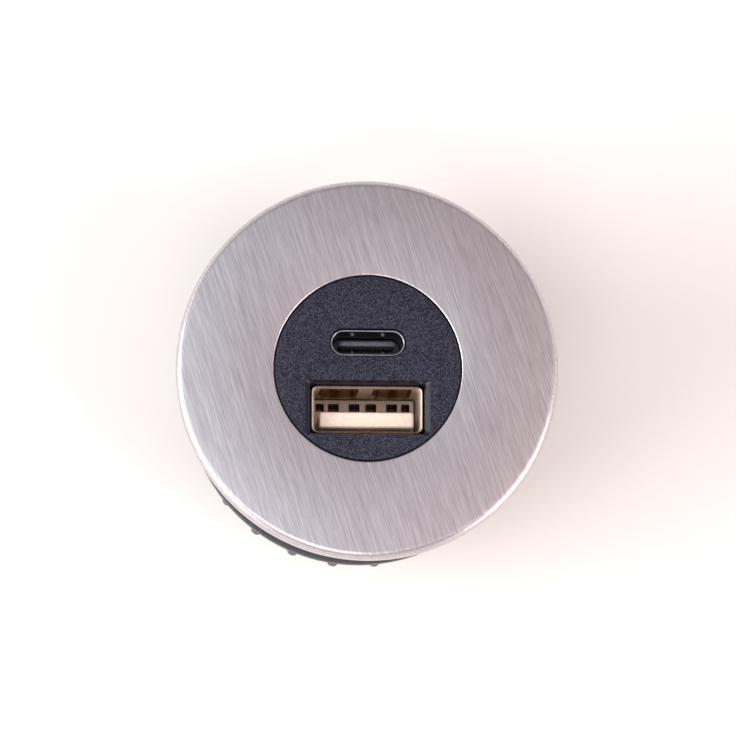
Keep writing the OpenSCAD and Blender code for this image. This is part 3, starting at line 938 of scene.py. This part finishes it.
@dataclass
class Clamp:
    """The keyed washer and the ribbed locking nut. Sizes are in millimetres."""

    washer: float = 21.0
    washer_bore: float = 17.25
    tab: float = 16.15
    tab_width: float = 3.3
    thickness: float = 2.0
    nut: float = 20.5
    nut_height: float = 9.2
    nut_bore: float = 17.15
    nut_crest: float = 16.15
    run_span: float = 82.0
    first_run: float = -27.4
    runs: int = 8
    ribs: int = 24
    rib_height: float = 0.6
    rib_half_angle: float = 2.05

    def keyed_washer(self) -> None:
        """The washer: a rounded flat profile carried round, whose inner radius drops to the tabs in four places."""
        top = WASHER_TOP
        half = math.degrees(math.asin(self.tab_width / 2 / self.tab))
        local = np.concatenate([np.linspace(-45, -half - 1.2, 14), np.linspace(-half - 0.9, -half, 6),
                                np.linspace(-half + 0.3, half - 0.3, 6), np.linspace(half, half + 0.9, 6),
                                np.linspace(half + 1.2, 45, 14)[:-1]])
        angle = np.radians((local[None, :] + 90 * np.arange(4)[:, None]).ravel())
        key = np.clip((half + 0.9 - np.abs(np.tile(local, 4))) / 0.9, 0, 1)
        inner = self.washer_bore - (self.washer_bore - self.tab) * key * key * (3 - 2 * key)
        low = top - self.thickness
        e = 0.25
        turn = np.linspace(0, np.pi / 2, 4)
        out = [(self.washer - e + e * np.sin(t), low + e - e * np.cos(t)) for t in turn]
        out += [(self.washer - e + e * np.cos(t), top - e + e * np.sin(t)) for t in turn]
        rows = [polar(r, angle, z) for r, z in out]
        rows += [polar(inner + add, angle, z) for add, z in ((0.2, top), (0.06, top - 0.06), (0.0, top - 0.2),
                                                             (0.0, low + 0.2), (0.06, low + 0.06), (0.2, low))]
        ring = Skin().add(np.stack(rows), True, True).build("keyed_clamp_washer", 40)
        fit(ring, FILLED_NYLON, "clamp_washer", Body.WASHER)

    def ribbed_nut(self) -> None:
        """The nut: a flanged profile carried round, with a half-round rib added to its outer wall at even angles.

        A rib's height is the square root of one minus the squared offset from its middle, in rib half widths.
        """
        top = WASHER_TOP - self.thickness - 0.1
        low = top - self.nut_height
        wall = self.nut - 0.7
        step, half = 360 / self.ribs, self.rib_half_angle
        local = np.concatenate([[-step / 2, -step / 3.2, -2.6], np.linspace(-half, half, 11), [2.6, step / 3.2]])
        angle = np.radians((local[None, :] + step * (np.arange(self.ribs)[:, None] + 0.5)).ravel())
        rib = np.sqrt(np.clip(1 - (np.tile(local, self.ribs) / half) ** 2, 0, 1))
        corners = [(self.nut_bore, low), (wall, low), (wall, top - 1.5), (self.nut, top - 1.5), (self.nut, top),
                   (self.nut_bore, top)]
        profile = softened(corners, [0.4, 0.5, 0.25, 0.3, 0.3, 0.4], 6)
        mid = np.linspace(0, 1, 6)[1:-1, None]
        profile = np.insert(profile, 12, profile[11] * (1 - mid) + profile[12] * mid, 0)
        share = np.concatenate([np.zeros(6), [0.25, 0.55, 0.8, 0.95, 1, 1, 1, 1, 1, 0.8], np.zeros(24)])
        rad = profile[:, None, 0] + self.rib_height * share[:, None] * rib
        skin = Skin().add(polar(rad, angle, profile[:, None, 1]), True, True)
        for run in thread_runs(self.nut_bore + 0.45, self.nut_crest, self.run_span, self.first_run, self.runs):
            skin.add(run, wrap_v=True)
        fit(skin.build("ribbed_locking_nut", 40), FILLED_NYLON, "locking_nut", Body.NUT)

    def build(self) -> None:
        """Builds and dresses both pieces."""
        self.keyed_washer()
        self.ribbed_nut()


@dataclass
class Rear:
    """The rear cover, its screws and the power inlet. Sizes are in millimetres."""

    head: float = 1.9
    shank: float = 0.98
    bush: float = 3.95
    plug: float = 2.8
    pin: float = 1.0

    def screws(self) -> None:
        """The screws: a pan head and shank turned round, with a cross sunk into the head.

        The cross's depth is the greater of two bars, each a product of smooth steps across its width and length.
        """
        face = COVER_FACE
        r = np.linspace(1e-4, self.head - 0.35, 16)
        z = face - 1.1 + 0.10 * (r / self.head) ** 2
        t = np.linspace(0.15, np.pi / 2, 6)
        shoulder = np.c_[self.head - 0.35 + 0.35 * np.sin(t), face - 0.65 - 0.35 * np.cos(t)]
        tail = np.array([(self.head, face - 0.12), (self.head - 0.1, face), (self.shank, face),
                         (self.shank, face + 7.9), (0.25, face + 9.0), (1e-4, face + 9.0)])
        profile = np.concatenate([np.c_[r, z], shoulder, tail])
        grid = turned(profile, 72)
        x, y = np.abs(grid[..., 0]), np.abs(grid[..., 1])
        bar = np.maximum(np.clip((0.34 - x) / 0.1, 0, 1) * np.clip((1.15 - y) / 0.12, 0, 1),
                         np.clip((0.34 - y) / 0.1, 0, 1) * np.clip((1.15 - x) / 0.12, 0, 1))
        bar[:, len(r):] = 0
        grid[..., 2] += 0.55 * bar
        skin = Skin()
        for a in SCREW_BEARINGS:
            spun = (grid[..., 0] + SCREW_CIRCLE + 1j * grid[..., 1]) * np.exp(1j * a)
            skin.add(cloud(spun.real, spun.imag, grid[..., 2]), wrap_u=True)
        fit(skin.build("pan_head_screws", 40), ZINC_SCREW, "rear_cover_screws")

    def inlet(self) -> None:
        """The inlet's moulding: one profile with the bush, the shoulder inside the cover and the plug's bore."""
        bore, low, high, top = self.pin + 0.01, RIM + 0.2, RIM + 9.8, COVER_TOP + 8.4
        corners = [(bore, high), (self.plug, high), (self.plug, low), (self.bush, low), (self.bush, COVER_TOP),
                   (5.0, COVER_TOP), (5.0, top), (bore, top)]
        radii = [0.05, 0.2, 0.35, 0.25, 0.05, 0.2, 0.3, 0.1]
        fit(revolved("inlet_moulding", corners, radii, 5, 120), FILLED_NYLON, "dc_inlet_body")

    def inlet_nut(self) -> None:
        """The hexagon nut: its radius is the smaller of the hexagon's, by angle, and a cone's at both faces."""
        low = COVER_FACE - 1.6
        angle = np.radians(np.arange(0, 360, 2.5))
        hexagon = 5.0 / np.cos((angle + np.pi / 6) % (np.pi / 3) - np.pi / 6)
        heights = low + np.array([0, 0, 0.12, 0.3, 1.3, 1.48, 1.6, 1.6])
        limit = np.array([4.05, 5.25, 5.5, 6.0, 6.0, 5.5, 5.25, 4.05])
        rad = np.minimum(hexagon[None, :], limit[:, None])
        nut = Skin().add(polar(rad, angle, heights[:, None]), True, True).build("inlet_nut", 25)
        fit(nut, NICKEL_TURNED, "dc_inlet_nut")

    def inlet_pin(self) -> None:
        """The centre pin: a turned rod with a domed tip below and a thin tail above."""
        low = RIM + 1.6
        t = np.linspace(0, np.pi / 2, 6)
        tip = np.c_[np.maximum(1e-4, self.pin * np.sin(t)), low + 0.45 * (1 - np.cos(t))]
        tail = np.array([(self.pin, low + 11.6), (0.35, low + 11.6), (0.35, low + 12.3), (1e-4, low + 12.3)])
        pin = Skin().add(turned(np.concatenate([tip, tail]), 48), wrap_u=True).build("inlet_centre_pin", 40)
        fit(pin, NICKEL_TURNED, "dc_inlet_pin")

    def build(self) -> None:
        """Builds and dresses the pieces."""
        fit(cad_copy("rear_cover", 0.2), SATIN_ABS, "rear_cover")
        for make in (self.screws, self.inlet, self.inlet_nut, self.inlet_pin):
            make()


@dataclass
class Board:
    """The electronics inside the barrel, on the board between the two ports. Sizes are in millimetres."""

    front: float = -1.79
    coil: float = 7.3
    coil_height: float = 3.5
    coil_level: float = -19.8

    def build(self) -> None:
        """Builds the inductor, a rounded block on the board's front, and dresses the CAD pieces that stay."""
        grid = block((self.coil, self.coil, 1.2), 0.0, self.coil_height, 0.3)
        placed = cloud(grid[..., 0], self.front - grid[..., 2], self.coil_level + grid[..., 1])
        fit(Skin().add(placed, wrap_v=True).build("pressed_inductor", 40), PRESSED_IRON, "power_inductor")
        for node, finish in CAD_FINISHES.items():
            dress(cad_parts[node], finish)
            LOG.info("%s: CAD shape, %s", node, finish.name)


# ---- stage


@dataclass
class Studio:
    """Pale floor, soft lights and the camera. Distances are in metres."""

    camera_from: tuple[float, float, float] = (-0.058, -0.152, 0.986)
    distance: float = 0.45
    lens: float = 187.6
    target: tuple[float, float, float] = (0.0, 0.0, 0.0024)
    floor_colour: str = "#e6e1de"
    floor_half: float = 0.6
    sky_colour: str = "#f3edee"
    horizon: float = 1.55
    zenith: float = 0.50
    lights: list[tuple[str, tuple[float, float, float], float, float, str]] = field(default_factory=lambda: [
        ("softbox", (-0.235, -0.03, 0.55), 0.60, 0.92, "#e2ecff"),
        ("panel", (0.27, -0.09, 0.55), 0.38, 0.44, "#ffe0df"),
        ("window", (-0.60, -0.14, 0.30), 0.60, 5.4, "#ffffff"),
        ("bounce", (0.58, -0.31, 0.30), 0.44, 3.0, "#fff2ee"),
        ("key", (-0.12, -0.44, 0.88), 0.35, 1.9, "#fff6ee"),
    ])

    def floor(self) -> None:
        """The floor: a wide grid that the barrel stands on, painted a pale warm grey."""
        x = np.linspace(-self.floor_half, self.floor_half, 9) / MM
        floor = Skin().add(cloud(x[:, None], x[None, :], RIM)).build("floor")
        material, add, place = blank("matt painted board")
        mottle = add("TexNoise", {"Vector": place, "Scale": 0.02, "Detail": 3.0})
        rough = add("MapRange", {"Value": mottle, "To Min": 0.6, "To Max": 0.75})
        shader = add("BsdfPrincipled", {"Base Color": linear(self.floor_colour), "Roughness": rough})
        add("OutputMaterial", {"Surface": shader})
        floor.data.materials.append(material)
        floor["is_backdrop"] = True

    def aim(self, obj: Piece, place: Vector, target: Vector) -> None:
        """Puts an object somewhere and points it at a target, with the Y axis upright in its view.

        Args:
            obj: a light or the camera.
            place: where it goes.
            target: what it looks at.
        """
        back = (place - target).normalized()
        right = Vector((0.0, 1.0, 0.0)).cross(back).normalized()
        turn = Matrix((right, back.cross(right), back)).transposed()
        obj.matrix_world = Matrix.Translation(place) @ turn.to_4x4()
        bpy.context.scene.collection.objects.link(obj)

    def light_up(self) -> None:
        """Adds the soft lights and the sky, which fades from the horizon up."""
        for name, place, size, power, tint in self.lights:
            lamp = bpy.data.lights.new(name, "AREA")
            lamp.shape, lamp.size, lamp.energy, lamp.color = "DISK", size, power, linear(tint)[:3]
            self.aim(bpy.data.objects.new(name, lamp), Vector(place), Vector(self.target))
        world = bpy.data.worlds.new("soft sky")
        world.use_nodes = True
        world.node_tree.nodes.clear()
        add = partial(put, world.node_tree)
        height = add("SeparateXYZ", {"Vector": add("TexCoord", out="Generated")}, "Z")
        glow = add("MapRange", {"Value": height, "From Min": 0.05, "From Max": 0.70, "To Min": self.horizon,
                                "To Max": self.zenith}, interpolation_type="SMOOTHSTEP")
        add("OutputWorld", {"Surface": add("Background", {"Color": linear(self.sky_colour), "Strength": glow})})
        bpy.context.scene.world = world

    def build(self) -> None:
        """Sets the whole stage."""
        self.floor()
        self.light_up()
        lens = bpy.data.cameras.new("camera")
        lens.lens, lens.clip_start, lens.clip_end = self.lens, 0.01, 10.0
        camera = bpy.data.objects.new("camera", lens)
        target = Vector(self.target)
        self.aim(camera, target + Vector(self.camera_from).normalized() * self.distance, target)
        bpy.context.scene.camera = camera
        bpy.context.scene.view_settings.view_transform = "Standard"


def main() -> None:
    """Builds every sub-assembly in order, then the stage."""
    logging.basicConfig(level=logging.INFO, format="%(message)s")
    for part in (Trim(), Face(), UsbA(), UsbC(), Barrel(), Clamp(), Rear(), Board()):
        part.build()
    Studio().build()
    box = [[list(map(float, corner)) for corner in pair] for pair in (CAD_BOX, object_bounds())]


if __name__ == "__main__":
    main()
